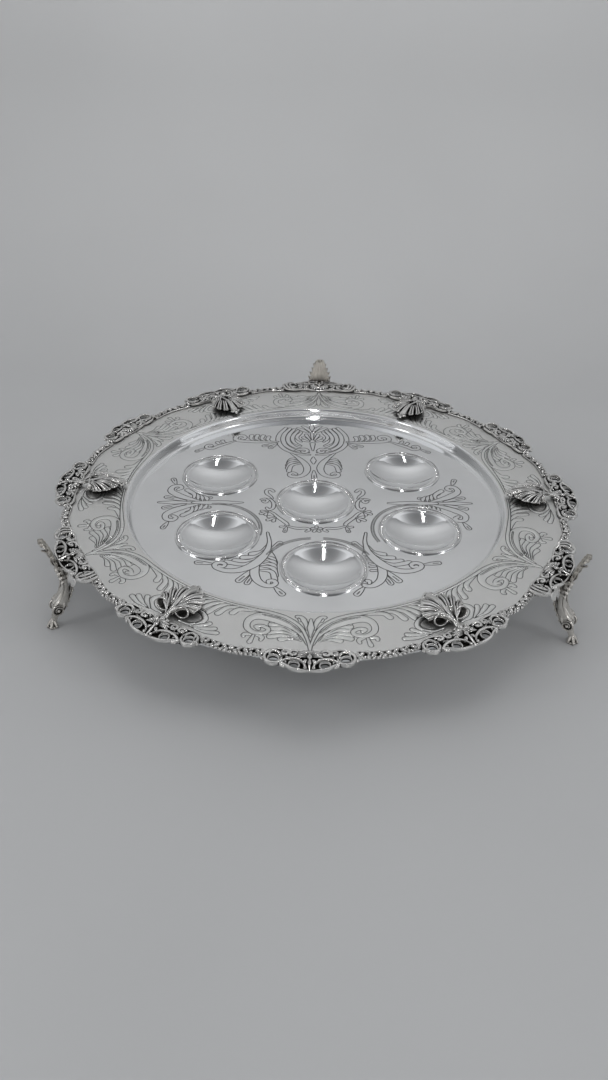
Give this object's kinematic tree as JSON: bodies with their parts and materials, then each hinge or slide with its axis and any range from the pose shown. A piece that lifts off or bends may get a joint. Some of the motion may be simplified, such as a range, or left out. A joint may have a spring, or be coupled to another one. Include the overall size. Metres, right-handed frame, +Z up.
{
  "type": "footed silver salver",
  "caption": "Round silver salver with sunk wells in its polished floor, a chased border, a cast scrollwork rim, applied acanthus leaves and cast scroll feet.",
  "frame": {"origin": "centre of the tray's polished floor, on the tray's axis, in the plane of the floor's upper face", "axes": "+Z up out of the floor; +Y towards the back foot; +X to the right"},
  "size_m": [0.433, 0.452, 0.0815],
  "materials": {
    "polished_silver": "mirror-polished sterling silver, with a frosted chased border",
    "cast_silver": "cast silver, polished on its high points and oxidised dark in its recesses",
    "oxidised_silver": "cast and chased silver leaf with strong dark oxidation between its ribs",
    "aged_silver": "cast silver, warm with light tarnish, bright where handled"
  },
  "bodies": {
    "root": {"tray_plate": "polished_silver", "well_ring_middle": "polished_silver", "well_ring_back_right": "polished_silver", "well_ring_back_left": "polished_silver", "well_ring_front_left": "polished_silver", "well_ring_front": "polished_silver", "well_ring_front_right": "polished_silver", "rim_scrollwork_01": "cast_silver", "rim_scrollwork_02": "cast_silver", "rim_scrollwork_03": "cast_silver", "rim_scrollwork_04": "cast_silver", "rim_scrollwork_05": "cast_silver", "rim_scrollwork_06": "cast_silver", "rim_scrollwork_07": "cast_silver", "rim_scrollwork_08": "cast_silver", "rim_scrollwork_09": "cast_silver", "rim_scrollwork_10": "cast_silver", "rim_scrollwork_11": "cast_silver", "rim_scrollwork_12": "cast_silver", "rim_moulding_01": "cast_silver", "rim_moulding_02": "cast_silver", "rim_moulding_03": "cast_silver", "rim_moulding_04": "cast_silver", "rim_moulding_05": "cast_silver", "rim_moulding_06": "cast_silver", "rim_moulding_07": "cast_silver", "rim_moulding_08": "cast_silver", "rim_moulding_09": "cast_silver", "rim_moulding_10": "cast_silver", "rim_moulding_11": "cast_silver", "rim_moulding_12": "cast_silver", "acanthus_leaf_1": "oxidised_silver", "acanthus_leaf_2": "oxidised_silver", "acanthus_leaf_3": "oxidised_silver", "acanthus_leaf_4": "oxidised_silver", "acanthus_leaf_5": "oxidised_silver", "acanthus_leaf_6": "oxidised_silver", "foot_bracket_back": "cast_silver", "foot_bracket_left": "cast_silver", "foot_bracket_right": "cast_silver", "foot_leg_back": "aged_silver", "foot_leg_left": "aged_silver", "foot_leg_right": "aged_silver", "foot_palmette_back": "aged_silver", "foot_palmette_left": "aged_silver", "foot_palmette_right": "aged_silver"}
  },
  "joints": []
}
